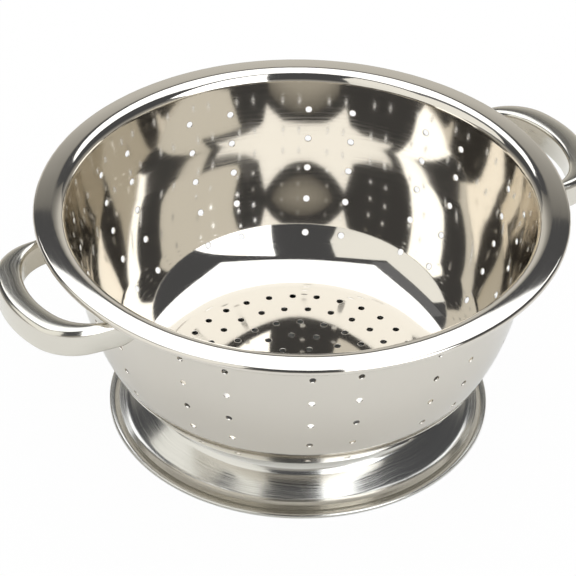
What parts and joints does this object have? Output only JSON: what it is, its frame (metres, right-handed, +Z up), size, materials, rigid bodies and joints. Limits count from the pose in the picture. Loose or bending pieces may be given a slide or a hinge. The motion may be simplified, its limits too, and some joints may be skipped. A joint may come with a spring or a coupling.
{
  "type": "footed colander",
  "caption": "Round stainless steel colander: perforated bowl with a flat rolled rim, spun foot ring and tubular loop handles spot welded under the rim.",
  "frame": {"origin": "middle of the foot's underside, on the surface the colander stands on", "axes": "+Z up along the bowl's axis, the two handles lie along +X and -X"},
  "size_m": [0.288, 0.24, 0.11],
  "materials": {
    "polished_bowl": "mirror-polished 18/0 stainless steel sheet with faint draw lines",
    "polished_foot": "polished spun stainless steel with faint spinning lines",
    "polished_handle": "polished stainless steel tube",
    "weld_metal": "spot weld marks, dull grey with a faint heat ring"
  },
  "bodies": {
    "root": {"bowl": "polished_bowl", "foot_ring": "polished_foot", "handle_left": "polished_handle", "handle_right": "polished_handle", "handle_left_welds": "weld_metal", "handle_right_welds": "weld_metal", "foot_ring_welds": "weld_metal"}
  },
  "joints": []
}
